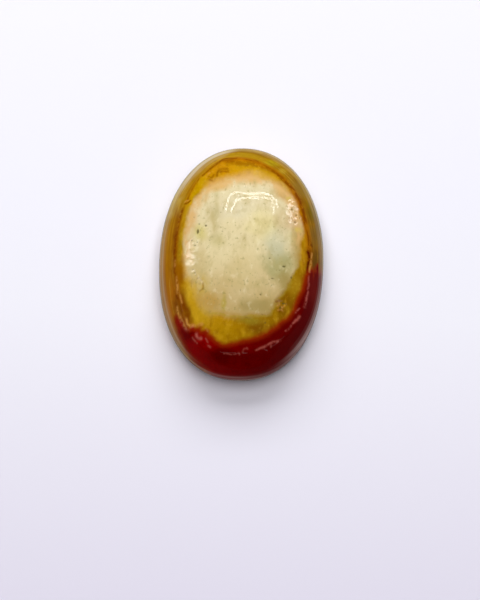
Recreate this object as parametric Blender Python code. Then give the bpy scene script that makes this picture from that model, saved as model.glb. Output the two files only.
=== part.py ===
# A sulemani agate cabochon: one polished oval stone that lies on its flat back, dome up.
# Metres, +Z up. The origin is the middle of the flat back, and the long axis runs along Y.

import math

import bmesh
import bpy

MM = 0.001

# Overall size of the stone
LENGTH = 21.8 * MM
WIDTH = 15.0 * MM
HEIGHT = 6.6 * MM

# The outline is a full oval, a little squarer than an ellipse, whose exponent is 2
FAR_END_EXPONENT = 2.14
NEAR_END_EXPONENT = 2.22
EXPONENT_BLEND = 0.35

# The shoulder is where the low crown breaks into the steep wall
SHOULDER_HEIGHT = 4.7 * MM
SHOULDER_INSET = 1.6 * MM
SHOULDER_SLOPE = math.radians(48.0)

# The girdle is the widest level, and below it the wall rolls under to the flat back
GIRDLE_HEIGHT = 1.9 * MM
BACK_INSET = 1.5 * MM

# Where the crown, the wall and the roll under it end, as shares of the way from top to back
CROWN_END = 0.44
WALL_END = 0.72
ROLL_END = 0.88

SEGMENTS = 72
RINGS = 50

# The finish of the plain solid: the mean of the cream eye and its amber rim
AGATE_COLOUR = (0.50, 0.31, 0.09, 1.0)
AGATE_ROUGHNESS = 0.12


def clear_scene():
    for thing in list(bpy.data.objects):
        bpy.data.objects.remove(thing, do_unlink=True)


def power(value, exponent):
    return math.copysign(abs(value) ** exponent, value)


def outline_point(angle, inset):
    # A point of the oval at this angle, moved inwards by the inset along the oval's own normal.
    half_width = WIDTH / 2
    half_length = LENGTH / 2
    share = min(max((math.sin(angle) + EXPONENT_BLEND) / (2 * EXPONENT_BLEND), 0.0), 1.0)
    share = share * share * (3 - 2 * share)
    exponent = NEAR_END_EXPONENT + (FAR_END_EXPONENT - NEAR_END_EXPONENT) * share
    x = power(math.cos(angle), 2 / exponent)
    y = power(math.sin(angle), 2 / exponent)
    normal_x = power(x, exponent - 1) / half_width
    normal_y = power(y, exponent - 1) / half_length
    length = math.hypot(normal_x, normal_y)
    return half_width * x - inset * normal_x / length, half_length * y - inset * normal_y / length


def profile_point(down):
    # (spread, inset, height) of the ring this far down the stone: 0 is the top of the dome, 1 the middle of the back.
    if down < CROWN_END:
        spread = down / CROWN_END
        return spread, SHOULDER_INSET, HEIGHT - (HEIGHT - SHOULDER_HEIGHT) * spread**2
    if down < WALL_END:
        # A quadratic curve that leaves the shoulder at its slope and reaches the girdle upright
        t = (down - CROWN_END) / (WALL_END - CROWN_END)
        bend_height = SHOULDER_HEIGHT - SHOULDER_INSET * math.tan(SHOULDER_SLOPE)
        height = (1 - t) ** 2 * SHOULDER_HEIGHT + 2 * t * (1 - t) * bend_height + t**2 * GIRDLE_HEIGHT
        return 1.0, (1 - t) ** 2 * SHOULDER_INSET, height
    if down < ROLL_END:
        # A quarter of an ellipse from the upright girdle to the back
        turn = (down - WALL_END) / (ROLL_END - WALL_END) * math.pi / 2
        return 1.0, BACK_INSET * (1 - math.cos(turn)), GIRDLE_HEIGHT * (1 - math.sin(turn))
    return (1 - down) / (1 - ROLL_END), BACK_INSET, 0.0


def shape_stone(ball):
    # Carries each vertex of a unit sphere to the stone: longitude goes round the outline, latitude down the profile.
    for vertex in ball.verts:
        angle = math.atan2(vertex.co.y, vertex.co.x)
        down = math.acos(min(max(vertex.co.z, -1.0), 1.0)) / math.pi
        spread, inset, height = profile_point(down)
        x, y = outline_point(angle, inset)
        vertex.co = (x * spread, y * spread, height)


def polished_agate():
    material = bpy.data.materials.new("polished_agate")
    material.use_nodes = True
    shader = material.node_tree.nodes["Principled BSDF"]
    shader.inputs["Base Color"].default_value = AGATE_COLOUR
    shader.inputs["Roughness"].default_value = AGATE_ROUGHNESS
    shader.inputs["Metallic"].default_value = 0.0
    return material


def make_stone(collection):
    mesh = bpy.data.meshes.new("agate_cabochon")
    ball = bmesh.new()
    bmesh.ops.create_uvsphere(ball, u_segments=SEGMENTS, v_segments=RINGS, radius=1.0)
    shape_stone(ball)
    bmesh.ops.recalc_face_normals(ball, faces=ball.faces)
    ball.to_mesh(mesh)
    ball.free()
    mesh.shade_smooth()
    mesh.set_sharp_from_angle(angle=math.radians(30.0))
    mesh.materials.append(polished_agate())
    stone = bpy.data.objects.new("agate_cabochon", mesh)
    collection.objects.link(stone)
    return stone


def main():
    clear_scene()
    collection = bpy.data.collections.new("sulemani_agate")
    bpy.context.scene.collection.children.link(collection)
    make_stone(collection)


main()
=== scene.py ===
import math
from functools import partial

import bpy
import numpy as np
from mathutils import Matrix, Vector


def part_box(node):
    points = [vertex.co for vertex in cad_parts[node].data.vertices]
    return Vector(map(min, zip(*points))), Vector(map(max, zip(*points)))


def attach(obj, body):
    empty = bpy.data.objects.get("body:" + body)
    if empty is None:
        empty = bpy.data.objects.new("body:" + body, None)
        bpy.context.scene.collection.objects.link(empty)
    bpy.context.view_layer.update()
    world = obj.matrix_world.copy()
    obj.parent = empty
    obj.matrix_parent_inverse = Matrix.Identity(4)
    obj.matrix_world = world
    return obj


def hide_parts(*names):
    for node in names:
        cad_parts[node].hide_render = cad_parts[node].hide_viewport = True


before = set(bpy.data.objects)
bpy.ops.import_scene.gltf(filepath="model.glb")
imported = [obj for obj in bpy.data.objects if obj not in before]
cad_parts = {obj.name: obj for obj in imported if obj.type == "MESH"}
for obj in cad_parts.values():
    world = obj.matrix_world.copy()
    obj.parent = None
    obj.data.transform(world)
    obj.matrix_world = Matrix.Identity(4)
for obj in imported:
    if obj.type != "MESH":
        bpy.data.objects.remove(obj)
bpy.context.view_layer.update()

mm = 0.001  # the frame is in metres, and every size below is in millimetres


def hexColor(code):
    # sRGB hex such as "e0d0a5" to linear: c/12.92 below 0.04045, else ((c + 0.055)/1.055)^2.4
    parts = [int(code[i:i + 2], 16) / 255 for i in (0, 2, 4)]
    return tuple(c / 12.92 if c <= 0.04045 else ((c + 0.055) / 1.055) ** 2.4 for c in parts) + (1.0,)


def addNode(tree, kind, settings=None, inputs=None, output=0):
    # One shader node of this kind with its settings and inputs, which gives the output asked for.
    # An input is a socket to link, a hex colour or a value, and "stops" are a ramp's places and colours.
    node = tree.nodes.new("ShaderNode" + kind)
    for name, value in (settings or {}).items():
        if name != "stops":
            setattr(node, name, value)
            continue
        ramp = node.color_ramp.elements
        while len(ramp) > 1:
            ramp.remove(ramp[-1])
        for number, (place, code) in enumerate(value):
            stop = ramp.new(place) if number else ramp[0]
            stop.position = place
            stop.color = hexColor(code)
    for name, value in (inputs or {}).items():
        if isinstance(value, bpy.types.NodeSocket):
            tree.links.new(value, node.inputs[name])
        else:
            node.inputs[name].default_value = hexColor(value) if isinstance(value, str) else value
    return node.outputs[output] if node.outputs else None


# The stone's form. The overall size comes from the frame, the rest is in mm.
low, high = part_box("agate_cabochon")
stone = {
    "length": (high.y - low.y) / mm,
    "width": (high.x - low.x) / mm,
    "height": (high.z - low.z) / mm,
    "farExponent": 2.14,        # 2 is an ellipse, and more is squarer
    "nearExponent": 2.22,
    "exponentBlend": 0.35,      # sine of the angle over which one turns into the other
    "shoulderHeight": 4.7,      # where the low crown breaks into the steep wall
    "shoulderInset": 1.6,
    # hand grinding left the shoulder further in or out here: angle, half width in degrees, extra inset in mm
    "shoulderUneven": [(-85, 24, 0.4), (72, 26, 0.42), (-18, 28, -0.35), (-132, 17, -0.28)],
    "shoulderSlope": 48.0,      # degrees, at the top of the wall
    "shoulderRound": 0.022,     # half width of the rounding, as a share of the way down
    "roundReach": 0.05,         # how far from the shoulder it fades away, in the same terms
    "roundSteps": 9,
    "girdleHeight": 1.9,
    "backInset": 1.5,
    "crownEnd": 0.44,           # shares of the way from the top to the middle of the back
    "wallEnd": 0.72,
    "rollEnd": 0.88,
    "backBlend": 0.02,          # and over which the flat back's finish takes over
    "around": 540,              # points in a ring
    # rings of points: from and to, as shares of the way down, and how many
    "rings": [(0.0, 0.39, 66), (0.39, 0.49, 34), (0.49, 0.72, 42), (0.72, 0.88, 22), (0.88, 1.0, 14)],
}


def ovalPoint(angle, inset):
    # |x/a|^n + |y/b|^n = 1 as a (cos)^(2/n), b (sin)^(2/n), moved inwards along its own normal
    a, b = stone["width"] / 2, stone["length"] / 2
    blend = stone["exponentBlend"]
    share = np.clip((np.sin(angle) + blend) / (2 * blend), 0, 1)
    share = share * share * (3 - 2 * share)
    n = stone["nearExponent"] + (stone["farExponent"] - stone["nearExponent"]) * share
    x = np.sign(np.cos(angle)) * np.abs(np.cos(angle)) ** (2 / n)
    y = np.sign(np.sin(angle)) * np.abs(np.sin(angle)) ** (2 / n)
    nx = np.sign(x) * np.abs(x) ** (n - 1) / a
    ny = np.sign(y) * np.abs(y) ** (n - 1) / b
    size = np.hypot(nx, ny)
    return a * x - inset * nx / size, b * y - inset * ny / size


def shoulderInset(angle):
    # the mean inset plus a bell, extra * exp(-(turn / half width)^2), at each uneven place
    inset = np.full(angle.shape, stone["shoulderInset"])
    for place, half, extra in stone["shoulderUneven"]:
        turn = (np.degrees(angle) - place + 180) % 360 - 180
        inset += extra * np.exp(-(turn / half) ** 2)
    return inset


def profile(angle, down):
    # crown: a parabola out to the shoulder. wall: a quadratic curve to the upright girdle.
    # roll: a quarter ellipse to the flat back. Gives spread (share of the outline), inset and height.
    top, shoulder, girdle = stone["height"], stone["shoulderHeight"], stone["girdleHeight"]
    edge = shoulderInset(angle)
    spread = np.clip(down / stone["crownEnd"], 0, 1)
    crown = top - (top - shoulder) * spread ** 2
    t = np.clip((down - stone["crownEnd"]) / (stone["wallEnd"] - stone["crownEnd"]), 0, 1)
    bend = shoulder - stone["shoulderInset"] * math.tan(math.radians(stone["shoulderSlope"]))
    wall = (1 - t) ** 2 * shoulder + 2 * t * (1 - t) * bend + t ** 2 * girdle
    turn = np.clip((down - stone["wallEnd"]) / (stone["rollEnd"] - stone["wallEnd"]), 0, 1) * math.pi / 2
    height = np.where(down < stone["crownEnd"], crown, np.where(down < stone["wallEnd"], wall,
                                                    girdle * (1 - np.sin(turn))))
    inset = np.where(down < stone["wallEnd"], (1 - t) ** 2 * edge,
                     stone["backInset"] * (1 - np.cos(turn)))
    back = np.clip((1 - down) / (1 - stone["rollEnd"]), 0, 1)
    return np.where(down < stone["rollEnd"], spread, back), inset, height


def stonePoint(angle, down):
    # a point of the stone, with its crease at the shoulder worn round: the mean of the profile
    # over a short window about the point, weighted by a cosine that falls off to its ends
    near = np.exp(-((down - stone["crownEnd"]) / stone["roundReach"]) ** 2)
    total = np.zeros(angle.shape + (3,))
    steps = np.linspace(-1, 1, stone["roundSteps"])
    weights = np.cos(steps * math.pi / 2.2)
    for step, weight in zip(steps, weights / weights.sum()):
        spread, inset, height = profile(angle, np.clip(down + step * stone["shoulderRound"] * near, 0, 1))
        x, y = ovalPoint(angle, inset)
        total += weight * np.stack([x * spread, y * spread, height], -1)
    return total


def smoothNoise(points, size, seed):
    # random numbers from -1 to 1 at the corners of a lattice of this size, eased between with t*t*(3 - 2t)
    count = 32
    table = np.random.default_rng(seed).uniform(-1, 1, (count, count, count))
    q = points / size
    base = np.floor(q).astype(int)
    f = q - base
    f = f * f * (3 - 2 * f)
    total = np.zeros(points.shape[:-1])
    for corner in range(8):
        i, j, k = corner & 1, corner >> 1 & 1, corner >> 2 & 1
        weight = (np.where(i, f[..., 0], 1 - f[..., 0]) * np.where(j, f[..., 1], 1 - f[..., 1])
                  * np.where(k, f[..., 2], 1 - f[..., 2]))
        cell = (base + (i, j, k)) % count
        total += weight * table[cell[..., 0], cell[..., 1], cell[..., 2]]
    return total


def smoothCurve(points, steps, closed=False):
    # a smooth curve through the points, Catmull-Rom between each pair; an open one's ends are doubled
    p = np.array(points, float)
    before, start, end, after = np.roll(p, 1, 0), p, np.roll(p, -1, 0), np.roll(p, -2, 0)
    if not closed:
        padded = np.concatenate([p[:1], p, p[-1:]])
        before, start, end, after = padded[:-3], padded[1:-2], padded[2:-1], padded[3:]
    t = (np.arange(steps) / steps)[None, :, None]
    before, start, end, after = (q[:, None, :] for q in (before, start, end, after))
    curve = 0.5 * (2 * start + (end - before) * t + (2 * before - 5 * start + 4 * end - after) * t ** 2
                   + (3 * start - before - 3 * end + after) * t ** 3)
    curve = curve.reshape(-1, 2)
    return curve if closed else np.concatenate([curve, p[-1:]])


def distanceTo(curve, x, y):
    # signed distance in plan from a closed curve, negative inside (each crossing flips the side)
    best = np.full(x.shape, 1e9)
    inside = np.zeros(x.shape, bool)
    for (x0, y0), (x1, y1) in zip(curve, np.roll(curve, -1, 0)):
        dx, dy = x1 - x0, y1 - y0
        t = np.clip(((x - x0) * dx + (y - y0) * dy) / (dx * dx + dy * dy + 1e-12), 0, 1)
        best = np.minimum(best, (x - x0 - t * dx) ** 2 + (y - y0 - t * dy) ** 2)
        if y0 != y1:
            inside ^= ((y0 > y) != (y1 > y)) & (x < x0 + (y - y0) / (y1 - y0) * dx)
    return np.where(inside, -1, 1) * np.sqrt(best)


# The agate's layers: outlines in mm in plan, from the far end anticlockwise
layers = {
    "eye": [(0.0, 7.4), (-0.8, 7.1), (-1.5, 6.8), (-2.2, 6.5), (-3.0, 6.2), (-3.55, 5.9), (-3.9, 5.45),
            (-4.3, 4.9), (-4.65, 4.2), (-4.95, 3.4), (-5.15, 2.4), (-5.25, 1.4), (-5.25, 0.4),
            (-5.15, -0.6), (-4.95, -1.4), (-4.7, -2.1), (-4.25, -2.8), (-3.85, -3.7), (-3.6, -4.4),
            (-3.25, -5.0), (-2.7, -5.4), (-1.9, -5.5), (-0.9, -5.75), (0.0, -5.75), (1.0, -5.65),
            (2.0, -5.55), (2.5, -5.4), (2.75, -5.0), (3.1, -4.4), (3.5, -3.8), (4.0, -3.1), (4.35, -2.5),
            (4.65, -1.85), (4.95, -1.2), (5.1, -0.5), (5.15, 0.4), (5.3, 1.3), (5.45, 2.2), (5.45, 3.0),
            (5.2, 3.8), (4.9, 4.55), (4.55, 5.15), (4.2, 5.6), (3.8, 6.1), (3.15, 6.6), (2.4, 6.95),
            (1.6, 7.25), (0.8, 7.5)],
    # everything but the red end, out past the outline of the stone
    "pale": [(9.5, -1.6), (7.2, -1.35), (6.8, -1.25), (6.35, -1.2), (6.1, -1.4), (5.9, -1.75), (5.75, -2.2),
             (5.6, -2.9), (5.35, -3.5), (5.15, -4.0), (4.95, -4.5), (4.8, -5.0), (4.45, -5.5), (4.0, -6.0),
             (3.4, -6.5), (2.7, -7.0), (2.0, -7.4), (1.2, -7.75), (0.4, -7.95), (-0.4, -8.15), (-1.2, -8.3),
             (-1.9, -8.1), (-2.4, -7.75), (-2.75, -7.5), (-2.85, -7.2), (-3.3, -7.15), (-3.45, -6.85),
             (-3.9, -6.9), (-4.1, -6.75), (-4.4, -6.95), (-4.85, -6.65), (-5.2, -6.2), (-5.45, -5.8),
             (-5.65, -5.7), (-5.65, -6.3), (-5.45, -7.0), (-5.05, -7.8), (-4.55, -8.6), (-3.95, -9.4),
             (-3.25, -10.0), (-2.7, -10.4), (-2.3, -11.5), (-4.0, -14.0), (-16.0, -6.0), (-14.0, 14.0),
             (0.0, 20.0), (14.0, 13.0), (15.0, 3.0)],
    "leanIn": 0.12,      # how much the eye narrows for each mm of depth under the shoulder
    "leanFar": 0.32,     # how far the red reaches towards the far end for each mm of depth, on the right
    "leanFarFrom": 5.0,  # x at which it does so fully, from nothing in the middle
    "beltRadius": 8.0,   # of the circle on which the layers' fine banding runs round the stone
    "waver": 0.09,       # how far the lines below stray
    "waverSize": 0.5,    # and over what length
    "waverSeed": 5,
    "outlineSteps": 16,  # points that smooth each stretch of an outline
    "lineSteps": 3,      # and of a line
    # stained or healed lines, and along the shoulder dark lines that are partly painted crease shade: points,
    # half width in mm and strength
    "dark": [
        ([(-0.8, 9.1), (-1.7, 9.1), (-2.1, 8.9), (-2.75, 8.3), (-3.35, 7.75), (-3.85, 7.25)], 0.11, 0.9),
        ([(-1.6, 8.75), (-0.3, 8.6), (0.8, 8.55), (1.7, 8.35), (2.5, 8.0)], 0.38, 0.65),
        ([(0.8, 8.95), (1.2, 8.85)], 0.12, 0.6),
        ([(2.4, 8.05), (3.2, 7.55), (4.0, 6.85), (4.4, 6.35), (4.85, 5.7), (5.15, 5.1)], 0.28, 0.9),
        ([(2.9, 7.65), (3.6, 7.1), (4.2, 6.6), (4.6, 6.1), (4.9, 5.6), (5.15, 5.0)], 0.13, 1.0),
        ([(5.15, 5.1), (5.35, 4.4), (5.5, 3.8), (5.65, 3.2)], 0.22, 0.9),
        ([(5.7, 3.0), (5.95, 1.9), (6.1, 1.1)], 0.2, 0.5),
        ([(6.15, 1.25), (6.25, 1.15)], 0.09, 0.9),
        ([(5.95, 0.7), (6.0, 0.2), (6.0, -0.5), (5.98, -1.4)], 0.17, 1.0),
        ([(-2.5, 7.2), (-2.45, 7.6), (-2.2, 7.85), (-1.8, 7.95), (-1.55, 7.85), (-1.5, 7.65)], 0.13, 0.8),
        ([(-2.2, 7.6), (-1.9, 7.7), (-1.65, 7.6)], 0.09, 0.7),
        ([(-3.2, 7.2), (-2.9, 7.1), (-2.75, 7.35)], 0.09, 0.6),
        ([(-3.95, -2.6), (-3.65, -2.45), (-3.45, -2.7)], 0.07, 0.4),
        ([(-3.8, -2.85), (-3.55, -3.0)], 0.06, 0.35),
        ([(-3.35, -2.95), (-3.3, -3.4), (-3.55, -3.6)], 0.07, 0.4),
        ([(3.2, -4.4), (3.45, -4.3)], 0.08, 0.7),
        ([(3.55, -5.0), (3.5, -5.25)], 0.08, 0.7),
        ([(-3.1, 6.9), (-2.9, 6.7)], 0.12, 0.5),
        ([(-5.35, 4.6), (-5.0, 4.7), (-4.8, 4.85)], 0.08, 0.9),
        ([(-5.45, 4.1), (-5.6, 3.6), (-5.7, 3.1), (-5.85, 2.4), (-5.95, 1.7)], 0.17, 0.85),
        ([(-5.95, 1.7), (-6.0, 0.6), (-5.98, -0.6), (-5.95, -1.8)], 0.22, 0.7),
        ([(-6.0, 1.0), (-6.02, 0.2), (-6.0, -0.35)], 0.09, 1.0),
        ([(-5.9, -1.8), (-5.8, -2.8), (-5.65, -3.6)], 0.16, 0.6),
        ([(-5.65, -3.85), (-5.5, -4.1)], 0.14, 1.0),
        ([(-5.4, -4.0), (-5.15, -4.5), (-4.85, -5.0), (-4.6, -5.6), (-4.45, -6.2)], 0.27, 0.75),
        ([(-5.2, -4.2), (-5.05, -4.6), (-5.0, -4.85)], 0.09, 0.9),
        ([(-5.75, -4.4), (-5.65, -5.2), (-5.45, -5.9), (-5.0, -6.6)], 0.16, 0.6)],
    # worn lines and bruises at the shoulder, partly painted highlights on its worn edge, in the same terms
    "bruises and glints": [
        ([(-5.35, 4.85), (-5.1, 4.95)], 0.09, 0.8),
        ([(-3.45, 7.2), (-3.1, 7.5)], 0.08, 0.6),
        ([(-5.98, -0.7), (-5.95, -1.2)], 0.09, 0.8),
        ([(-5.8, -2.2), (-5.78, -2.6)], 0.1, 0.7),
        ([(-5.72, -2.8), (-5.65, -3.3), (-5.55, -3.7)], 0.12, 0.9),
        ([(-5.35, -3.9), (-5.25, -4.3), (-5.15, -4.6)], 0.08, 0.7),
        ([(-5.6, -4.95), (-5.5, -5.4), (-5.3, -5.85), (-5.1, -6.25), (-4.8, -6.75), (-4.65, -6.95)],
         0.13, 0.9),
        ([(-4.65, -6.1), (-4.55, -6.5), (-4.35, -6.7), (-3.9, -6.65)], 0.12, 1.0),
        ([(-3.6, -6.6), (-3.35, -6.55)], 0.14, 1.0),
        ([(-2.95, -6.95), (-2.75, -7.15)], 0.08, 0.6),
        ([(-4.1, -7.7), (-3.9, -7.95), (-3.7, -8.15)], 0.08, 0.6),
        ([(-3.75, -7.4), (-3.65, -7.7), (-3.3, -7.8)], 0.13, 0.9),
        ([(-2.85, -7.85), (-2.75, -8.1)], 0.07, 0.5),
        ([(-2.65, -8.4), (-2.5, -8.5)], 0.1, 0.7),
        ([(-1.3, -9.0), (-0.7, -9.05), (-0.2, -9.0)], 0.06, 0.5),
        ([(0.05, -8.9), (0.15, -9.05)], 0.07, 0.6),
        ([(0.45, -8.9), (0.55, -8.7), (0.8, -8.55)], 0.09, 0.5),
        ([(1.6, -8.6), (2.1, -8.45), (2.5, -8.1), (2.9, -7.98), (3.3, -7.85), (3.7, -7.7)], 0.1, 0.75),
        ([(2.9, -8.1), (2.9, -8.3)], 0.09, 0.5),
        ([(4.2, -6.85), (4.5, -6.6), (4.65, -6.3)], 0.09, 0.7),
        ([(3.3, -4.75), (3.5, -4.55), (3.7, -4.8), (3.95, -4.6)], 0.07, 0.7),
        ([(3.35, -5.1), (3.6, -4.95), (3.8, -5.15)], 0.06, 0.6),
        ([(4.8, -6.15), (5.05, -5.85), (5.35, -5.4)], 0.1, 0.85),
        ([(5.0, -5.15), (5.3, -4.75)], 0.09, 0.6),
        ([(5.75, -4.5), (5.8, -4.1), (6.0, -3.6), (6.1, -3.2)], 0.1, 0.85),
        ([(6.05, -2.9), (6.08, -2.3), (6.1, -1.8)], 0.1, 0.6),
        ([(6.2, -1.3), (6.22, -0.6), (6.25, 0.0), (6.25, 0.5)], 0.1, 0.9)],
}

# Where the polish is broken, in mm
wear = {
    # pits and chips: x, y, half width, half length and depth
    "pits": [(-4.0, 1.8, 0.1, 0.22, 0.07), (-3.9, 2.5, 0.07, 0.13, 0.04), (-3.3, 2.3, 0.1, 0.1, 0.06),
             (-1.8, 1.7, 0.08, 0.09, 0.03), (-4.5, 1.0, 0.1, 0.09, 0.04), (-2.9, 0.9, 0.09, 0.08, 0.03),
             (-2.7, 1.2, 0.08, 0.06, 0.03), (-4.2, 0.5, 0.12, 0.08, 0.04), (-4.0, 0.8, 0.07, 0.09, 0.04),
             (-3.3, -3.5, 0.1, 0.12, 0.03), (0.0, -3.6, 0.06, 0.13, 0.03), (-4.3, -1.7, 0.1, 0.09, 0.03),
             (-4.1, -2.0, 0.08, 0.1, 0.03), (2.5, -0.6, 0.1, 0.08, 0.04), (3.8, -1.2, 0.15, 0.09, 0.06),
             (3.4, -1.6, 0.1, 0.06, 0.03), (2.8, -2.4, 0.16, 0.07, 0.04), (2.5, -2.5, 0.07, 0.07, 0.03),
             (1.8, -3.9, 0.1, 0.1, 0.04), (4.0, 0.4, 0.08, 0.09, 0.03), (3.2, 2.1, 0.08, 0.1, 0.03),
             (4.7, 3.1, 0.12, 0.1, 0.05), (4.8, 3.8, 0.1, 0.09, 0.05), (4.4, 4.3, 0.1, 0.09, 0.05),
             (5.1, 3.6, 0.08, 0.08, 0.04), (0.8, 6.2, 0.12, 0.07, 0.03), (0.1, 6.1, 0.09, 0.07, 0.03),
             (1.8, 6.1, 0.1, 0.07, 0.03), (2.0, 4.0, 0.14, 0.06, 0.02), (-2.0, 3.5, 0.08, 0.08, 0.03),
             (-4.4, 3.2, 0.09, 0.09, 0.03), (4.5, -2.1, 0.1, 0.12, 0.04), (-0.9, 6.1, 0.1, 0.07, 0.03),
             (2.0, -5.6, 0.12, 0.07, 0.04), (2.3, -6.3, 0.1, 0.07, 0.04), (0.6, -5.9, 0.14, 0.06, 0.04),
             (3.9, -4.5, 0.16, 0.08, 0.05), (3.6, -4.9, 0.09, 0.13, 0.05)],
    "chips": [(-4.7, -6.9, 0.16, 0.34, 0.05), (-4.1, -7.4, 0.26, 0.16, 0.05), (-3.6, -7.9, 0.2, 0.16, 0.05),
              (-3.1, -8.4, 0.16, 0.16, 0.04), (-5.3, -5.6, 0.12, 0.4, 0.05), (-5.1, -6.3, 0.14, 0.3, 0.05),
              (5.0, -5.6, 0.2, 0.24, 0.03), (2.6, -8.5, 0.24, 0.14, 0.03), (-5.0, 5.0, 0.22, 0.09, 0.06)],
    # small pits anywhere on the crown: how many, and the least and most of each measure
    "scattered": {"count": 210, "x": (-6, 6), "y": (-9, 8.6), "half": (0.04, 0.09), "depth": (0.006, 0.02)},
    # patches the polish missed: x, y, half width, half length and how much
    "unpolished": [(-4.4, 0.0, 0.8, 1.5, 1.2), (4.4, 4.2, 0.7, 1.4, 0.8), (3.5, -4.8, 0.5, 0.5, 1.0),
                   (-3.6, -2.9, 0.5, 0.5, 0.3), (-0.8, 5.5, 0.7, 0.6, 0.025), (2.8, 4.6, 0.5, 0.9, 0.008)],
    # waves of the hand polish, more where it ran over the shoulder and where it missed: height, size and seed
    "waves": {"slow": (0.003, 3.5, 1), "ripple": (0.0008, 0.8, 2), "shoulder": (0.014, 0.45, 4),
              "unpolished": (0.013, 0.36, 3)},
    "shoulderHalf": 0.5,  # half width of the strip along the shoulder that waves more
    "skin": 0.02,         # how far the surface is set in, so that no wave stands out of the stone's size
    "backFade": 0.6,      # the wear fades out over this height above the flat back
    "topFade": 0.8,       # and the marks over this height above the girdle
    "fullPit": 0.06,      # a pit this deep is as dark and dull as one gets
    "seed": 11,
}


def dents(x, y, spots, power=1):
    # the sum of bells: depth * exp(-(((x - px) / half)^2 + ((y - py) / long)^2)^power)
    total = np.zeros(x.shape)
    for px, py, half, long, depth in spots:
        total += depth * np.exp(-(((x - px) / half) ** 2 + ((y - py) / long) ** 2) ** power)
    return total


def strokes(x, y, lines):
    # the strongest of strength * exp(-(distance / half width)^2) over the lines, in plan
    total = np.zeros(x.shape)
    for points, half, strength in lines:
        curve = smoothCurve(points, layers["lineSteps"])
        for (x0, y0), (x1, y1) in zip(curve, curve[1:]):
            dx, dy = x1 - x0, y1 - y0
            t = np.clip(((x - x0) * dx + (y - y0) * dy) / (dx * dx + dy * dy), 0, 1)
            far = np.hypot(x - x0 - t * dx, y - y0 - t * dy)
            total = np.maximum(total, strength * np.exp(-(far / half) ** 2))
    return total


def buildStone():
    print("shaping the cabochon")
    down = np.concatenate([np.linspace(a, b, n, endpoint=False) for a, b, n in stone["rings"]])[1:]
    angle = np.linspace(0, 2 * math.pi, stone["around"], endpoint=False)
    grid, turn = np.meshgrid(down, angle, indexing="ij")
    points = stonePoint(turn, grid)
    x, y, z = points[..., 0], points[..., 1], points[..., 2]

    # outward normals, and the run down the profile from the shoulder in mm
    normal = np.cross(np.gradient(points, axis=0), np.roll(points, -1, 1) - np.roll(points, 1, 1))
    normal /= np.linalg.norm(normal, axis=-1, keepdims=True)
    step = np.linalg.norm(np.diff(points, axis=0), axis=-1)
    run = np.concatenate([np.zeros((1, len(angle))), np.cumsum(step, 0)])
    run -= run[np.argmin(np.abs(down - stone["crownEnd"]))]

    topSide = np.clip((z - stone["girdleHeight"]) / wear["topFade"], 0, 1)
    rng = np.random.default_rng(wear["seed"])
    small = wear["scattered"]
    scattered = list(zip(*(rng.uniform(*small[measure], small["count"])
                           for measure in ("x", "y", "half", "half", "depth"))))
    pits = dents(x, y, wear["pits"] + scattered) * topSide
    chips = dents(x, y, wear["chips"]) * topSide
    unpolished = dents(x, y, wear["unpolished"], 2) * topSide
    shares = {"slow": 1, "ripple": 1, "shoulder": np.exp(-(run / wear["shoulderHalf"]) ** 2),
              "unpolished": unpolished}
    waves = sum(height * shares[name] * smoothNoise(points, size, seed)
                for name, (height, size, seed) in wear["waves"].items())
    # everything is cut inwards, so the stone keeps to its overall size, and the flat back stays flat
    cut = np.minimum(waves, wear["skin"]) - wear["skin"] - pits - chips
    points = points + normal * (cut * np.clip(z / wear["backFade"], 0, 1))[..., None]
    points[..., 2] = np.maximum(points[..., 2], 0)

    print("laying out the agate's layers")
    waver = layers["waver"] * smoothNoise(points, layers["waverSize"], layers["waverSeed"])
    depth = np.maximum(stone["shoulderHeight"] - z, 0)
    narrow = 1 + layers["leanIn"] * depth
    creep = layers["leanFar"] * depth * np.clip(x / layers["leanFarFrom"], 0, 1)
    eye, pale = (smoothCurve(layers[name], layers["outlineSteps"], closed=True) for name in ("eye", "pale"))
    fields = {
        "eyeEdge": distanceTo(eye, x * narrow, y * narrow),
        "redEdge": distanceTo(pale, x, y - creep),
        "shoulderRun": run,
        "flatBack": np.clip((grid - stone["rollEnd"]) / stone["backBlend"], 0, 1),
        # dark lines: stains and, along the shoulder, partly painted crease shade
        "darkLine": strokes(x + waver, y + waver, layers["dark"]) * topSide,
        # pale lines: bruises, partly painted highlights along the shoulder
        "paleLine": strokes(x + waver, y - waver, layers["bruises and glints"]) * topSide,
        "pit": np.clip(pits / wear["fullPit"], 0, 1),
        "unpolished": unpolished,
    }
    # a belt's own coordinates: two go round the outline, as on a circle, and one down the profile
    radius = layers["beltRadius"]
    belt = np.stack([radius * np.cos(turn), radius * np.sin(turn), run], -1)

    rows, columns = x.shape
    index = np.arange(rows * columns).reshape(rows, columns)
    beside = np.roll(index, -1, 1)
    quads = np.stack([index[:-1], index[1:], beside[1:], beside[:-1]], -1).reshape(-1, 4)
    top, bottom = rows * columns, rows * columns + 1
    caps = [(top, a, b) for a, b in zip(index[0], beside[0])]
    caps += [(bottom, b, a) for a, b in zip(index[-1], beside[-1])]
    poles = [[0, 0, points[0, :, 2].mean()], [0, 0, 0]]
    mesh = bpy.data.meshes.new("agate_stone")
    mesh.from_pydata(np.concatenate([points.reshape(-1, 3), poles]) * mm, [], quads.tolist() + caps)
    mesh.shade_smooth()
    for name, field in fields.items():
        values = np.concatenate([field.ravel(), [field[0].mean(), field[-1].mean()]])
        mesh.attributes.new(name, "FLOAT", "POINT").data.foreach_set("value", values.astype(np.float32))
    belt = np.concatenate([belt.reshape(-1, 3), [[0, 0, run[0].mean()], [0, 0, run[-1].mean()]]])
    belts = mesh.attributes.new("belt", "FLOAT_VECTOR", "POINT")
    belts.data.foreach_set("vector", belt.ravel().astype(np.float32))
    piece = bpy.data.objects.new("agate_stone", mesh)
    bpy.context.scene.collection.objects.link(piece)
    print("  faces", len(mesh.polygons))
    return piece


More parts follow.
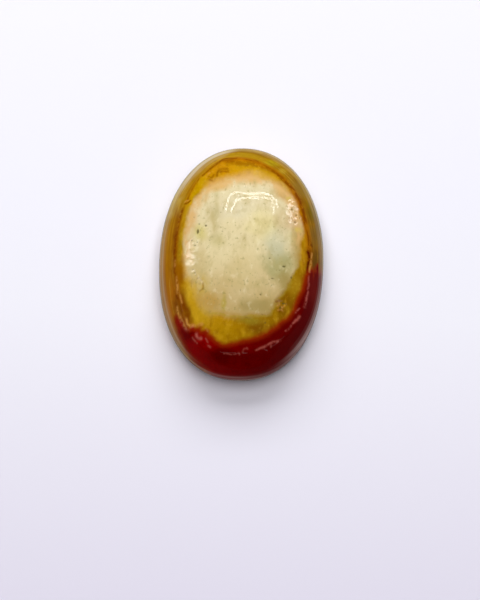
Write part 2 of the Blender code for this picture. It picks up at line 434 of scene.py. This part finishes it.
# Polished banded agate: microcrystalline quartz, sawn, ground and tumbled to a hard gloss. To the eye it is
# clean colour under a thin clear shine, which breaks up where the polish missed. Every size is in mm.
agate = {
    "ior": 1.54,
    "specular": 0.15,       # the hand polish is less than glassy, and the lamps make up for it
    "roughness": (0.03, 0.055),
    "pitRoughness": 0.5,
    "backRoughness": 0.42,  # the back is ground flat and not polished
    # each layer's own colours, from the first place to the last
    "eye": [(0.0, "bf9f5e"), (0.5, "dccb9c"), (1.0, "d8caa2")],                       # near to far
    "ring": [(0.05, "8a6004"), (0.35, "b58406"), (0.6, "c09214"), (0.85, "c08a04")],  # near right to far left
    "wall": [(0.0, "a25c00"), (0.45, "b07000"), (1.0, "a47e08")],                     # near to far
    "red": [(0.0, "900000"), (0.6, "680000"), (1.0, "620202")],                       # left to right
    # along which axis they run: how far x and y count, how much the clouds bend it, and its reach either way
    "axes": {"eye": (0.0, 1.0, 6.0, 7.0), "ring": (-0.9, 0.5, 5.0, 7.0), "wall": (0.0, 1.0, 6.0, 10.0),
             "red": (1.0, 0.0, 5.0, 4.0)},
    "peach": "d5ac6e",      # a rim just inside the eye's edge
    "wallPale": "cca030",   # fine bands round the wall
    "wallDark": "703c00",   # and wider ones
    "lineGlow": "b06204",   # amber along the shoulder
    "paintedRimLight": "dccfae",   # painted light: pale bands low on the wall, for the floor's reflection and light through the thin edge
    "paintedRimLightRed": "d8bcb2",    # and where they cross the red
    "fringe": "a89220",     # the dark line at the shoulder, partly a band and partly painted crease shade
    "line": "763600",       # the dark line at the shoulder
    "lineFar": "7c4400",    # at the far end
    "lineRed": "4c0600",    # and where it nears the red
    "redEdge": "8c2404",    # rust, where the red comes in
    "bruise": "c88c3c",     # a pale line across cream or amber, partly a painted highlight
    "bruiseRed": "b0564a",  # and across red
    "grit": "5c5020",       # in the pits
    "stainFade": (1.0, 2.1),  # a stain fades out between these, in its half widths plus what the clouds add
    "stainFray": 1.6,         # the most that they add, which frays its rim
    # soft stains in each layer: x, y, half width, half length, colour and strength
    "stains": {
        "eye": [(3.6, -0.9, 1.8, 1.6, "9c9860", 0.75), (3.0, 0.9, 1.3, 1.7, "c6c2a0", 0.75),
                (4.7, 4.0, 0.9, 2.2, "d6aa80", 0.8), (-3.5, -3.2, 1.1, 1.3, "be9e3c", 0.85),
                (-3.8, 1.9, 0.8, 1.0, "cabb68", 0.7), (1.5, -4.9, 1.9, 0.9, "9c8848", 0.6),
                (-0.5, 4.0, 2.6, 1.6, "d8ceb0", 0.5), (-2.2, 0.8, 0.8, 0.9, "c3b67c", 0.5),
                (-2.7, -4.5, 1.2, 1.0, "be9442", 0.8), (1.6, 2.6, 1.6, 1.6, "e2d494", 0.5),
                (-2.6, 3.6, 1.0, 2.2, "c8b88c", 0.45), (4.7, 1.6, 0.7, 1.0, "b8ac68", 0.6),
                (0.2, -2.0, 1.4, 2.0, "d0bc84", 0.4), (0.6, 7.25, 3.0, 0.8, "cca058", 1.0),
                (-3.7, -0.9, 1.0, 1.4, "c6b078", 0.6), (-1.4, -4.6, 0.3, 1.1, "b09a1e", 0.6),
                (-4.6, 3.0, 0.7, 1.6, "d8b486", 0.5), (-2.4, 3.8, 0.35, 2.0, "bcae7c", 0.5),
                (3.6, 3.4, 0.9, 1.6, "c8b080", 0.6), (1.8, 7.2, 0.6, 0.4, "c49c20", 0.7),
                (5.3, 0.9, 1.0, 3.2, "b0904a", 0.95), (4.1, -2.7, 0.9, 1.5, "a08a48", 0.8),
                (3.7, 5.7, 1.1, 0.9, "c09a5a", 0.9), (4.1, 5.3, 0.3, 0.25, "c4b43c", 0.8),
                (5.0, 2.4, 0.35, 0.3, "d0c04c", 0.8), (-2.6, 6.2, 1.6, 0.6, "cfa45a", 0.8)],
        "ring": [(-4.4, -3.2, 0.8, 1.8, "cca22a", 0.9), (-3.0, -5.4, 1.4, 1.0, "c49a1e", 0.9),
                 (-1.2, -7.1, 1.8, 0.9, "ae8004", 0.8), (2.0, -6.8, 1.6, 0.8, "7c5206", 0.85),
                 (4.2, -4.7, 0.9, 1.3, "845806", 0.85), (0.8, -6.1, 1.8, 0.5, "968020", 0.8),
                 (5.5, 0.3, 0.6, 2.4, "a8740c", 0.8), (4.9, -2.6, 0.8, 1.3, "a67e14", 0.8),
                 (-5.4, 3.5, 0.7, 1.6, "98760e", 0.85), (-5.2, -3.0, 0.6, 0.9, "a06c00", 0.7),
                 (-0.3, 8.0, 1.4, 0.5, "c09010", 0.7), (-4.4, 6.0, 1.0, 1.8, "b48c00", 0.9),
                 (-5.7, 0.9, 0.8, 3.0, "8c7010", 1.0), (4.9, 5.4, 0.6, 1.6, "b07a20", 0.7),
                 (-2.2, 7.9, 1.3, 0.7, "ba7c0c", 0.6)],
        "wall": [(-6.4, 6.0, 1.2, 2.4, "ccb258", 0.8), (5.4, 7.0, 1.4, 1.6, "9c8030", 0.8),
                 (6.2, 4.6, 0.8, 1.8, "786010", 0.9), (6.9, 2.2, 0.8, 3.2, "7c6028", 0.8),
                 (-6.2, -4.2, 0.7, 2.2, "b0680c", 0.8), (2.5, 8.9, 0.9, 0.4, "b09a10", 0.9),
                 (3.5, 8.2, 0.4, 0.35, "c4a424", 0.9), (-5.0, -8.6, 0.8, 1.4, "b07c22", 0.7),
                 (-6.0, 1.0, 0.35, 4.0, "8c5000", 0.8), (6.7, -0.2, 0.8, 1.8, "64440a", 0.9)],
        "red": [(-4.7, -7.3, 1.0, 1.0, "600000", 0.8), (-1.3, -9.0, 1.3, 0.8, "520000", 0.7),
                (6.6, -2.6, 0.6, 2.2, "70140c", 0.8)],
        "crown": [(-5.3, -4.3, 0.7, 1.1, "7c4808", 0.85), (-4.95, -5.4, 0.7, 1.1, "7c4808", 0.85),
                  (-4.55, -6.2, 0.6, 0.7, "7c4404", 0.85), (-5.5, -1.9, 0.5, 1.7, "8e5200", 0.9),
                  (-5.3, 4.6, 0.5, 1.3, "a8820c", 0.7)]},
    # cloudy patterns: size, detail, stretch along x, y and z, offset and distortion
    "patterns": {
        "wavy": (1.6, 3, (1, 1, 1), (0, 0, 0), 0.0),
        "fine": (0.4, 2, (1, 1, 1), (5, 3, 1), 0.0),
        "cloudy": (2.6, 2, (1, 1, 1), (9, 2, 4), 0.0),
        "feather": (0.95, 4, (1, 2.0, 2), (2, 8, 3), 0.3),
        "fleck": (0.55, 3, (1, 1.5, 1), (7, 7, 7), 0.2),
        "grain": (0.26, 2, (1, 1.2, 1), (4, 4, 6), 0.0),
        "blotch": (0.7, 3, (1, 1.5, 1), (4, 1, 9), 0.2),
        "broken": (1.1, 3, (1, 1, 1), (2, 2, 2), 0.0),
        "dashes": (0.35, 2, (1, 1, 1), (8, 2, 6), 0.0),
        "polish": (0.9, 2, (1, 1, 1), (3, 3, 8), 0.0),
        "tooth": (0.3, 2, (1, 1, 1), (6, 1, 2), 0.0),
        "sawing": (0.3, 1, (30, 1, 30), (1, 9, 4), 0.0),
    },
    # the same on the belt's coordinates, which a long stretch draws out into bands round the stone
    "beltPatterns": {
        "layering": (0.3, 3, (9, 9, 1), (1, 2, 3), 0.4),
        "bands": (0.9, 2, (14, 14, 1), (6, 4, 1), 0.3),
        "edgeBands": (0.42, 2, (40, 40, 1), (3, 5, 7), 0.15),
    },
    # mottling: the layer, the pattern, where it sets in and is full, its strength and its colour
    "mottling": [
        ("eye", "feather", 0.48, 0.75, 0.5, "b4a062"), ("eye", "fleck", 0.55, 0.74, 0.3, "efe3bc"),
        ("eye", "fleck", 0.46, 0.28, 0.25, "a89860"), ("eye", "grain", 0.6, 0.74, 0.45, "948a50"),
        ("ring", "blotch", 0.48, 0.72, 0.45, "8a5404"), ("ring", "feather", 0.5, 0.72, 0.35, "dcae20"),
        ("ring", "grain", 0.5, 0.75, 0.15, "7c5404"), ("ring", "grain", 0.48, 0.25, 0.15, "e4b83c"),
        ("wall", "bands", 0.48, 0.62, 0.4, "wallDark"), ("wall", "layering", 0.5, 0.75, 0.4, "wallPale"),
        ("wall", "blotch", 0.5, 0.75, 0.25, "wallDark"), ("red", "blotch", 0.5, 0.8, 0.3, "400000"),
        ("red", "layering", 0.5, 0.75, 0.1, "8c0c00")],
    # how far the wavy and the fine pattern move a layer's edge, and how much of that each edge takes
    "wander": {"wavy": 1.2, "fine": 0.3, "eye": 0.7, "red": 0.4, "shoulder": 0.2, "fingers": 1.6},
    # how much x counts beside y in where the eye's edge changes on its way round
    "lean": {"crisp": 0.75, "peach": -0.3, "fringe": -0.6},
    # soft steps: where each starts and ends (mm, or a pattern's value), and what it gives there, which is
    # 0 at its start and 1 at its end where left out
    "steps": {
        "fingers": (0.3, 0.7, -0.5, 0.4), "fingersDown": (0.1, 1.0),
        "fingersRight": (-2.0, 4.0, 0.15),
        "crisp": (-7.0, -2.0, 1.1, 2.8), "crispFar": (4.5, 7.0, 1.0, 0.4), "eyeEdge": (-0.6, 0.8),
        "peachRim": (-1.1, -0.25), "peachSide": (-1.5, 0.5, 0, 0.9),
        "peachUneven": (0.35, 0.6, 0.25),
        "fringeIn": (0.0, 0.15), "fringeOut": (0.15, 0.4, 0.35, 0.0),
        "fringeSide": (-4.5, -3.0, 1.0, 0.0),
        "wallStart": (-0.25, 0.15), "wallOnBack": (0.8, 2.4),
        "glowIn": (-0.55, -0.1), "glowOut": (0.0, 0.6, 0.6, 0.0), "glowRight": (-3.5, -0.5, 0.35),
        "lineIn": (-0.18, -0.04), "lineOut": (0.02, 0.18, 1.0, 0.0),
        "lineBroken": (0.42, 0.62, 0.0, 0.7), "lineDashed": (0.3, 0.52, 0.35),
        "lineRight": (3.0, 5.5), "lineNear": (0.0, 3.0, 1.0, 0.0), "lineFar": (5.5, 8.0),
        "redStart": (-0.48, 0.1), "redSlow": (5.6, 6.8, 1.0, 0.7), "rust": (-0.05, 0.45),
        "inRed": (-0.2, 0.3),
        "thinNear": (-7.3, -11.0, 0, -1.0), "thinLeft": (-0.2, -2.2, -0.25, 0.95),
        "thinFar": (5.0, 8.0), "thinMost": (-4.0, -8.5, 0.84), "thinDown": (1.3, 3.2),
        "thinOffBack": (0.9, 1.7), "thinStreaks": (0.4, 0.52, 0.6),
        "wornDashed": (0.3, 0.55, 0.15), "grit": (0.1, 0.75, 0, 0.85),
    },
    "polishRange": (0.3, 0.7),  # the pattern's values at which the polish is best and worst
    "tooth": 1.2,               # how strong the bumps are where the polish missed
    "toothAll": 0.003,          # and everywhere
    "bumpDepth": 0.01,          # of a bump of strength 1
}


def agateMaterial():
    print("mixing the agate")
    material = bpy.data.materials.new("polished_banded_agate")
    material.use_nodes = True
    material.node_tree.nodes.clear()
    add = partial(addNode, material.node_tree)
    smooth = {"interpolation_type": "SMOOTHSTEP"}
    times = {"operation": "MULTIPLY"}
    timesAdd = {"operation": "MULTIPLY_ADD"}
    color = {"data_type": "RGBA"}
    ends = ("From Min", "From Max", "To Min", "To Max")
    step = {name: dict(zip(ends, values)) for name, values in agate["steps"].items()}
    wander, lean = agate["wander"], agate["lean"]

    where = add("TexCoord", output="Object")
    spot = add("VectorMath", {"operation": "SCALE"}, {0: where, "Scale": 1 / mm})
    x = add("SeparateXYZ", {}, {0: spot}, "X")
    y, z = x.node.outputs["Y"], x.node.outputs["Z"]
    belt = add("Attribute", {"attribute_name": "belt"}, output="Vector")
    names = ("eyeEdge", "redEdge", "shoulderRun", "flatBack", "darkLine", "paleLine", "pit", "unpolished")
    field = {name: add("Attribute", {"attribute_name": name}, output="Fac") for name in names}

    # cloudy patterns, each at its own size
    pattern = {}
    patterns = {name: (spot, look) for name, look in agate["patterns"].items()}
    patterns.update({name: (belt, look) for name, look in agate["beltPatterns"].items()})
    for name, (source, (size, detail, stretch, offset, distortion)) in patterns.items():
        placed = add("Mapping", {}, {"Vector": source, "Location": offset,
                                     "Scale": [1 / (size * part) for part in stretch]})
        pattern[name] = add("TexNoise", {}, {"Vector": placed, "Scale": 1.0, "Detail": detail,
                                            "Distortion": distortion})

    # the layers' edges wander by a few tenths of a millimetre, to either side of their lines
    middle = (wander["wavy"] + wander["fine"]) / 2
    fine = add("Math", timesAdd, {0: pattern["fine"], 1: wander["fine"], 2: -middle})
    wobble = add("Math", timesAdd, {0: pattern["wavy"], 1: wander["wavy"], 2: fine})
    eyeEdge = add("Math", timesAdd, {0: wobble, 1: wander["eye"], 2: field["eyeEdge"]})
    redEdge = add("Math", timesAdd, {0: wobble, 1: wander["red"], 2: field["redEdge"]})
    run = add("Math", timesAdd, {0: wobble, 1: wander["shoulder"], 2: field["shoulderRun"]})
    # down the wall, and most of all on the right, the red runs out in fingers along the layers
    fingers = add("MapRange", {}, {"Value": pattern["layering"], **step["fingers"]})
    below = add("MapRange", smooth, {"Value": run, **step["fingersDown"]})
    onRight = add("MapRange", smooth, {"Value": x, **step["fingersRight"]})
    below = add("Math", times, {0: below, 1: onRight})
    fingers = add("Math", timesAdd, {0: wobble, 1: wander["fingers"], 2: fingers})
    fingers = add("Math", times, {0: fingers, 1: below})
    redEdge = add("Math", {"operation": "ADD"}, {0: redEdge, 1: fingers})

    # each layer's own colour, along its own axis
    layer = {}
    for name, (byX, byY, byCloud, reach) in agate["axes"].items():
        along = add("Math", times, {0: x, 1: byX})
        along = add("Math", timesAdd, {0: y, 1: byY, 2: along})
        along = add("Math", timesAdd, {0: pattern["cloudy"], 1: byCloud, 2: along})
        share = add("MapRange", {}, {"Value": along, "From Min": byCloud / 2 - reach,
                                     "From Max": byCloud / 2 + reach})
        layer[name] = add("ValToRGB", {"stops": agate[name]}, {0: share})

    # soft stains, whose rims the clouds fray
    stains = []
    fadeStart, fadeEnd = agate["stainFade"]
    listed = [(name, *stain) for name, group in agate["stains"].items() for stain in group]
    for name, px, py, half, long, code, strength in listed:
        placed = add("Mapping", {}, {"Vector": spot, "Location": (-px / half, -py / long, 0),
                                     "Scale": (1 / half, 1 / long, 0)})
        far = add("VectorMath", {"operation": "LENGTH"}, {0: placed}, "Value")
        far = add("Math", timesAdd, {0: pattern["wavy"], 1: agate["stainFray"], 2: far})
        share = add("MapRange", smooth, {"Value": far, "From Min": fadeStart, "From Max": fadeEnd,
                                         "To Min": strength, "To Max": 0.0})
        stains.append((name, share, code))
    for name, share, code in stains:
        if name in layer:
            layer[name] = add("Mix", color, {0: share, 6: layer[name], 7: code}, 2)

    # mottling, in a colour of its own or in one named above
    for name, source, start, full, strength, code in agate["mottling"]:
        share = add("MapRange", smooth, {"Value": pattern[source], "From Min": start,
                                         "From Max": full, "To Max": strength})
        layer[name] = add("Mix", color, {0: share, 6: layer[name], 7: agate.get(code, code)}, 2)

    # the eye's edge is sharpest at the near right, and spreads towards the near left and the far end
    across = add("Math", timesAdd, {0: x, 1: lean["crisp"], 2: y})
    gain = add("MapRange", smooth, {"Value": across, **step["crisp"]})
    farther = add("MapRange", smooth, {"Value": y, **step["crispFar"]})
    gain = add("Math", times, {0: gain, 1: farther})
    crisp = add("Math", times, {0: eyeEdge, 1: gain})
    # just inside it a peach rim, on the left and the far side
    rim = add("MapRange", smooth, {"Value": eyeEdge, **step["peachRim"]})
    across = add("Math", timesAdd, {0: x, 1: lean["peach"], 2: y})
    onSide = add("MapRange", smooth, {"Value": across, **step["peachSide"]})
    uneven = add("MapRange", smooth, {"Value": pattern["blotch"], **step["peachUneven"]})
    rim = add("Math", times, {0: rim, 1: onSide})
    rim = add("Math", times, {0: rim, 1: uneven})
    body = add("Mix", color, {0: rim, 6: layer["eye"], 7: agate["peach"]}, 2)
    share = add("MapRange", smooth, {"Value": crisp, **step["eyeEdge"]})
    body = add("Mix", color, {0: share, 6: body, 7: layer["ring"]}, 2)
    # and outside it, at the near right, a thin yellow-green fringe
    inner = add("MapRange", smooth, {"Value": eyeEdge, **step["fringeIn"]})
    outer = add("MapRange", smooth, {"Value": eyeEdge, **step["fringeOut"]})
    fringe = add("Math", times, {0: inner, 1: outer})
    across = add("Math", timesAdd, {0: x, 1: lean["fringe"], 2: y})
    nearRight = add("MapRange", smooth, {"Value": across, **step["fringeSide"]})
    fringe = add("Math", times, {0: fringe, 1: nearRight})
    body = add("Mix", color, {0: fringe, 6: body, 7: agate["fringe"]}, 2)

    # the wall begins at the shoulder, and on the flat back a little way out from the eye
    onWall = add("MapRange", smooth, {"Value": run, **step["wallStart"]})
    onBack = add("MapRange", smooth, {"Value": eyeEdge, **step["wallOnBack"]})
    onWall = add("Mix", {}, {0: field["flatBack"], 2: onWall, 3: onBack})
    body = add("Mix", color, {0: onWall, 6: body, 7: layer["wall"]}, 2)
    for name, share, code in stains:
        if name == "crown":
            body = add("Mix", color, {0: share, 6: body, 7: code}, 2)

    # along the shoulder the amber glows, most on the right
    inner = add("MapRange", smooth, {"Value": run, **step["glowIn"]})
    outer = add("MapRange", smooth, {"Value": run, **step["glowOut"]})
    glow = add("Math", times, {0: inner, 1: outer})
    onRight = add("MapRange", smooth, {"Value": x, **step["glowRight"]})
    glow = add("Math", times, {0: glow, 1: onRight})
    body = add("Mix", color, {0: glow, 6: body, 7: agate["lineGlow"]}, 2)
    # in the glow runs a thin dark line that comes and goes, partly a band and partly painted shade in the
    # shoulder's crease, with the drawn ones beside it
    inner = add("MapRange", smooth, {"Value": run, **step["lineIn"]})
    outer = add("MapRange", smooth, {"Value": run, **step["lineOut"]})
    dark = add("Math", times, {0: inner, 1: outer})
    comes = add("MapRange", smooth, {"Value": pattern["broken"], **step["lineBroken"]})
    dark = add("Math", times, {0: dark, 1: comes})
    comes = add("MapRange", smooth, {"Value": pattern["dashes"], **step["lineDashed"]})
    drawn = add("Math", times, {0: field["darkLine"], 1: comes})
    dark = add("Math", {"operation": "MAXIMUM"}, {0: dark, 1: drawn})
    rightSide = add("MapRange", smooth, {"Value": x, **step["lineRight"]})
    nearSide = add("MapRange", smooth, {"Value": y, **step["lineNear"]})
    reddish = add("Math", times, {0: rightSide, 1: nearSide})
    farSide = add("MapRange", smooth, {"Value": y, **step["lineFar"]})
    lineColor = add("Mix", color, {0: farSide, 6: agate["line"], 7: agate["lineFar"]}, 2)
    lineColor = add("Mix", color, {0: reddish, 6: lineColor, 7: agate["lineRed"]}, 2)
    body = add("Mix", color, {0: dark, 6: body, 7: lineColor}, 2)

    # the red end, which comes in softly through a rust edge, and more slowly on the right wall
    share = add("MapRange", smooth, {"Value": redEdge, **step["rust"]})
    red = add("Mix", color, {0: share, 6: agate["redEdge"], 7: layer["red"]}, 2)
    slow = add("MapRange", smooth, {"Value": x, **step["redSlow"]})
    share = add("Math", times, {0: redEdge, 1: slow})
    share = add("MapRange", smooth, {"Value": share, **step["redStart"]})
    inRed = add("MapRange", smooth, {"Value": redEdge, **step["inRed"]})
    body = add("Mix", color, {0: share, 6: body, 7: red}, 2)

    # painted light: pale bands low on the wall for the floor's reflection and light through the thin edge,
    # which come further up on the far left and keep lower at the near end
    nearEnd = add("MapRange", smooth, {"Value": y, **step["thinNear"]})
    onLeft = add("MapRange", smooth, {"Value": x, **step["thinLeft"]})
    farEnd = add("MapRange", smooth, {"Value": y, **step["thinFar"]})
    farEnd = add("Math", timesAdd, {0: onLeft, 1: farEnd, 2: nearEnd})
    lowness = add("Math", {"operation": "ADD"}, {0: field["shoulderRun"], 1: farEnd})
    stripes = add("Math", {"operation": "SUBTRACT"}, {0: pattern["edgeBands"], 1: 0.5})
    lowness = add("Math", timesAdd, {0: stripes, 1: 1.0, 2: lowness})
    most = add("MapRange", smooth, {"Value": y, **step["thinMost"]})
    rimLight = add("MapRange", smooth, {"Value": lowness, **step["thinDown"], "To Max": most})
    share = add("MapRange", smooth, {"Value": z, **step["thinOffBack"]})
    rimLight = add("Math", times, {0: rimLight, 1: share})
    pale = add("Mix", color, {0: inRed, 6: agate["paintedRimLight"], 7: agate["paintedRimLightRed"]}, 2)
    streaks = add("MapRange", smooth, {"Value": pattern["edgeBands"], **step["thinStreaks"]})
    rimLight = add("Math", times, {0: rimLight, 1: streaks})
    body = add("Mix", color, {0: rimLight, 6: body, 7: pale}, 2)

    # worn lines, which scatter the light and are partly painted highlights, and grit in the pits
    dashes = add("MapRange", smooth, {"Value": pattern["dashes"], **step["wornDashed"]})
    share = add("Math", times, {0: field["paleLine"], 1: dashes})
    bruise = add("Mix", color, {0: inRed, 6: agate["bruise"], 7: agate["bruiseRed"]}, 2)
    body = add("Mix", color, {0: share, 6: body, 7: bruise}, 2)
    share = add("MapRange", smooth, {"Value": field["pit"], **step["grit"]})
    body = add("Mix", color, {0: share, 6: body, 7: agate["grit"]}, 2)

    # the shine is uneven, dull in the pits and on the back, and toothed where the polish missed
    rough = add("MapRange", smooth, {"Value": pattern["polish"],
                                     **dict(zip(ends, agate["polishRange"] + agate["roughness"]))})
    dull = add("Math", times, {0: field["pit"], 1: agate["pitRoughness"]})
    rough = add("Math", {"operation": "MAXIMUM"}, {0: rough, 1: dull})
    dull = add("Math", times, {0: field["flatBack"], 1: agate["backRoughness"]})
    rough = add("Math", {"operation": "MAXIMUM"}, {0: rough, 1: dull})
    tooth = add("Math", timesAdd, {0: field["unpolished"], 1: agate["tooth"], 2: agate["toothAll"]})
    tooth = add("Math", times, {0: tooth, 1: pattern["tooth"]})
    marks = add("Math", times, {0: field["flatBack"], 1: pattern["sawing"]})
    height = add("Math", {"operation": "ADD"}, {0: tooth, 1: marks})
    bump = add("Bump", {}, {"Height": height, "Strength": 1.0, "Distance": agate["bumpDepth"] * mm})
    shader = add("BsdfPrincipled", {}, {
        "Base Color": body, "Roughness": rough, "Normal": bump, "IOR": agate["ior"],
        "Specular IOR Level": agate["specular"]})
    add("OutputMaterial", {}, {0: shader})
    return material


cabochon = buildStone()
cabochon.data.materials.append(agateMaterial())
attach(cabochon, "root")
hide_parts("agate_cabochon")


# Pale matt paper that fades from white at the back to a faint lavender in front. The polish mirrors it dimly.
# It lies a hair under the stone, and its colours run from near to far in mm.
floorLook = {"size": 2000.0, "drop": 0.02, "ramp": [(0.0, "dfdaea"), (0.5, "ecebf4"), (1.0, "eeedf7")],
             "near": -34.0, "far": 26.0, "mirrored": "48484c"}


def buildFloor():
    print("laying the floor")
    half, drop = floorLook["size"] / 2 * mm, floorLook["drop"] * mm
    mesh = bpy.data.meshes.new("studio_floor")
    mesh.from_pydata([(-half, -half, -drop), (half, -half, -drop), (half, half, -drop), (-half, half, -drop)],
                     [], [(0, 1, 2, 3)])
    material = bpy.data.materials.new("matt_pale_paper")
    material.use_nodes = True
    material.node_tree.nodes.clear()
    add = partial(addNode, material.node_tree)
    where = add("TexCoord", output="Object")
    y = add("SeparateXYZ", {}, {0: where}, "Y")
    share = add("MapRange", {}, {"Value": y, "From Min": floorLook["near"] * mm,
                                           "From Max": floorLook["far"] * mm})
    paper = add("ValToRGB", {"stops": floorLook["ramp"]}, {0: share})
    mirrored = add("LightPath", output="Is Glossy Ray")
    paper = add("Mix", {"data_type": "RGBA"}, {0: mirrored, 6: paper, 7: floorLook["mirrored"]}, 2)
    shader = add("BsdfDiffuse", {}, {"Color": paper})
    add("OutputMaterial", {}, {0: shader})
    mesh.materials.append(material)
    floor = bpy.data.objects.new("studio_floor", mesh)
    bpy.context.scene.collection.objects.link(floor)
    return floor


floor = buildFloor()


# Lamps: azimuth in degrees, 0 at the near end, 90 on the left and 180 at the far end, then elevation, width
# and height in mm, and brightness. Soft ones light the scene, and the rest show only in the gloss.
lamps = {
    "distance": 420.0,
    "soft": {"overhead": (0, 90, 350, 350, 2.9), "far": (175, 42, 430, 210, 5.8)},
    "gloss": {"leftTop": (110, 38, 40, 34, 18.0), "leftMiddle": (107, 35, 34, 38, 19.0),
              "leftLow": (105, 33, 26, 36, 15.0), "right": (231, 30, 70, 50, 18.0),
              "leftHigh": (96, 46, 34, 34, 5.0), "rightHigh": (284, 54, 38, 38, 3.0),
              "near": (3, 32, 120, 30, 1.5), "nearRight": (315, 28, 150, 30, 1.5),
              "nearLeft": (76, 16, 150, 30, 2.0)},
    "room": "f4f3fc",
    "roomGlow": 0.04,
}
# A window frame overhead, whose two edges the crown mirrors as thin lines. It hangs where it has to for the
# camera to see them at these places of the crown, in mm in plan.
windowFrame = {
    "height": 300.0,
    "levelBar": 8.0,
    "uprightBar": 11.0,
    "glow": 21.0,
    "lines": [[(-1.6, 3.6), (-1.52, 4.0), (-1.45, 4.4), (-1.3, 5.05), (-1.0, 5.4), (-0.5, 5.48), (0.4, 5.45),
               (1.0, 5.47), (1.7, 5.58), (2.2, 5.5), (2.5, 5.38), (2.7, 5.2), (2.95, 4.95), (3.0, 4.5),
               (3.1, 4.15)],
              [(-1.1, 3.55), (-0.97, 3.95), (-0.85, 4.3), (-0.7, 4.75), (-0.25, 4.95), (0.7, 5.05),
               (1.5, 5.07), (2.0, 5.13), (2.4, 5.06), (2.58, 4.8), (2.66, 4.45), (2.8, 4.05), (2.75, 3.65),
               (2.7, 3.45)]],
}
# The camera looks steeply down, and is turned a little, as the stone leans in the picture
camera = {"elevation": 77.0, "roll": 2.04, "distance": 150.0, "lens": 100.1, "aim": (0.0, -3.8, 3.3)}


def cameraPlace():
    # the way back from what it looks at, and its place in mm: the aim plus the distance along that way
    elevation = math.radians(camera["elevation"])
    back = Vector((0, -math.cos(elevation), math.sin(elevation)))
    return back, Vector(camera["aim"]) + back * camera["distance"]


def crownHeight(x, y):
    # top - (top - shoulder) * s^2, where s is the share of the way from the middle out to the shoulder
    angle = np.linspace(-math.pi, math.pi, stone["around"] + 1)
    edgeX, edgeY = ovalPoint(angle, shoulderInset(angle))
    reach = np.interp(np.arctan2(y, x), np.arctan2(edgeY, edgeX), np.hypot(edgeX, edgeY))
    return stone["height"] - (stone["height"] - stone["shoulderHeight"]) * (x * x + y * y) / reach ** 2


def ceilingPoints(line):
    # the camera's ray d to each place turns into d - 2 (d . n) n about the crown's normal n, and runs on
    # up to the frame's height. The normal comes from the crown's slopes over a short step either way.
    x, y = np.array(line).T
    step = 0.02
    slopeX = (crownHeight(x + step, y) - crownHeight(x - step, y)) / (2 * step)
    slopeY = (crownHeight(x, y + step) - crownHeight(x, y - step)) / (2 * step)
    normal = np.stack([-slopeX, -slopeY, np.ones(len(x))], -1)
    normal /= np.linalg.norm(normal, axis=-1, keepdims=True)
    place = np.stack([x, y, crownHeight(x, y)], -1)
    ray = place - np.array(cameraPlace()[1])
    ray -= 2 * (ray * normal).sum(-1, keepdims=True) * normal
    return place + ray * (windowFrame["height"] - place[:, 2:]) / ray[:, 2:]


def addLamp(name, place, along, away, width, height, glow, soft):
    # a flat lamp of even brightness: its power is glow * pi * its area
    light = bpy.data.lights.new(name, "AREA")
    light.shape = "RECTANGLE"
    light.size, light.size_y = width * mm, height * mm
    light.energy = glow * math.pi * width * height * mm * mm
    lamp = bpy.data.objects.new(name, light)
    across = away.cross(along).normalized()
    turn = Matrix((across.cross(away), across, away)).transposed().to_4x4()
    lamp.matrix_world = Matrix.Translation(place * mm) @ turn
    lamp.visible_glossy = not soft
    lamp.visible_diffuse = soft
    lamp.visible_camera = False
    bpy.context.scene.collection.objects.link(lamp)


def buildLight():
    print("setting the lamps")
    for soft, group in ((True, lamps["soft"]), (False, lamps["gloss"])):
        for name, (azimuth, elevation, width, height, glow) in group.items():
            turn, rise = math.radians(azimuth), math.radians(elevation)
            level = Vector((math.cos(turn), -math.sin(turn), 0))
            out = math.cos(rise)
            away = Vector((-math.sin(turn) * out, -math.cos(turn) * out, math.sin(rise)))
            addLamp(name, away * lamps["distance"], level, away, width, height, glow, soft)
    for number, line in enumerate(windowFrame["lines"]):
        edge = [Vector(point) for point in ceilingPoints(line)]
        for part, (start, end) in enumerate(zip(edge, edge[1:])):
            away = ((start + end) / 2).normalized()
            along = end - start
            bar = windowFrame["levelBar"]
            bar += (windowFrame["uprightBar"] - bar) * abs(along.normalized().y)
            along -= away * along.dot(away)
            addLamp(f"frame_{number}_{part}", (start + end) / 2, along.normalized(), away, along.length, bar,
                    windowFrame["glow"], False)
    world = bpy.data.worlds.new("soft_room")
    world.use_nodes = True
    background = world.node_tree.nodes["Background"].inputs
    background["Color"].default_value = hexColor(lamps["room"])
    background["Strength"].default_value = lamps["roomGlow"]
    world.cycles_visibility.glossy = False
    bpy.context.scene.world = world
    bpy.context.scene.view_settings.view_transform = "Standard"


def buildCamera():
    print("placing the camera")
    roll = math.radians(camera["roll"])
    back, place = cameraPlace()
    side = Vector((1, 0, 0))
    right = side * math.cos(roll) + back.cross(side) * math.sin(roll)
    data = bpy.data.cameras.new("camera")
    data.lens = camera["lens"]
    data.clip_start = 0.005
    view = bpy.data.objects.new("camera", data)
    turn = Matrix((right, back.cross(right), back)).transposed().to_4x4()
    view.matrix_world = Matrix.Translation(place * mm) @ turn
    bpy.context.scene.collection.objects.link(view)
    bpy.context.scene.camera = view


buildLight()
buildCamera()
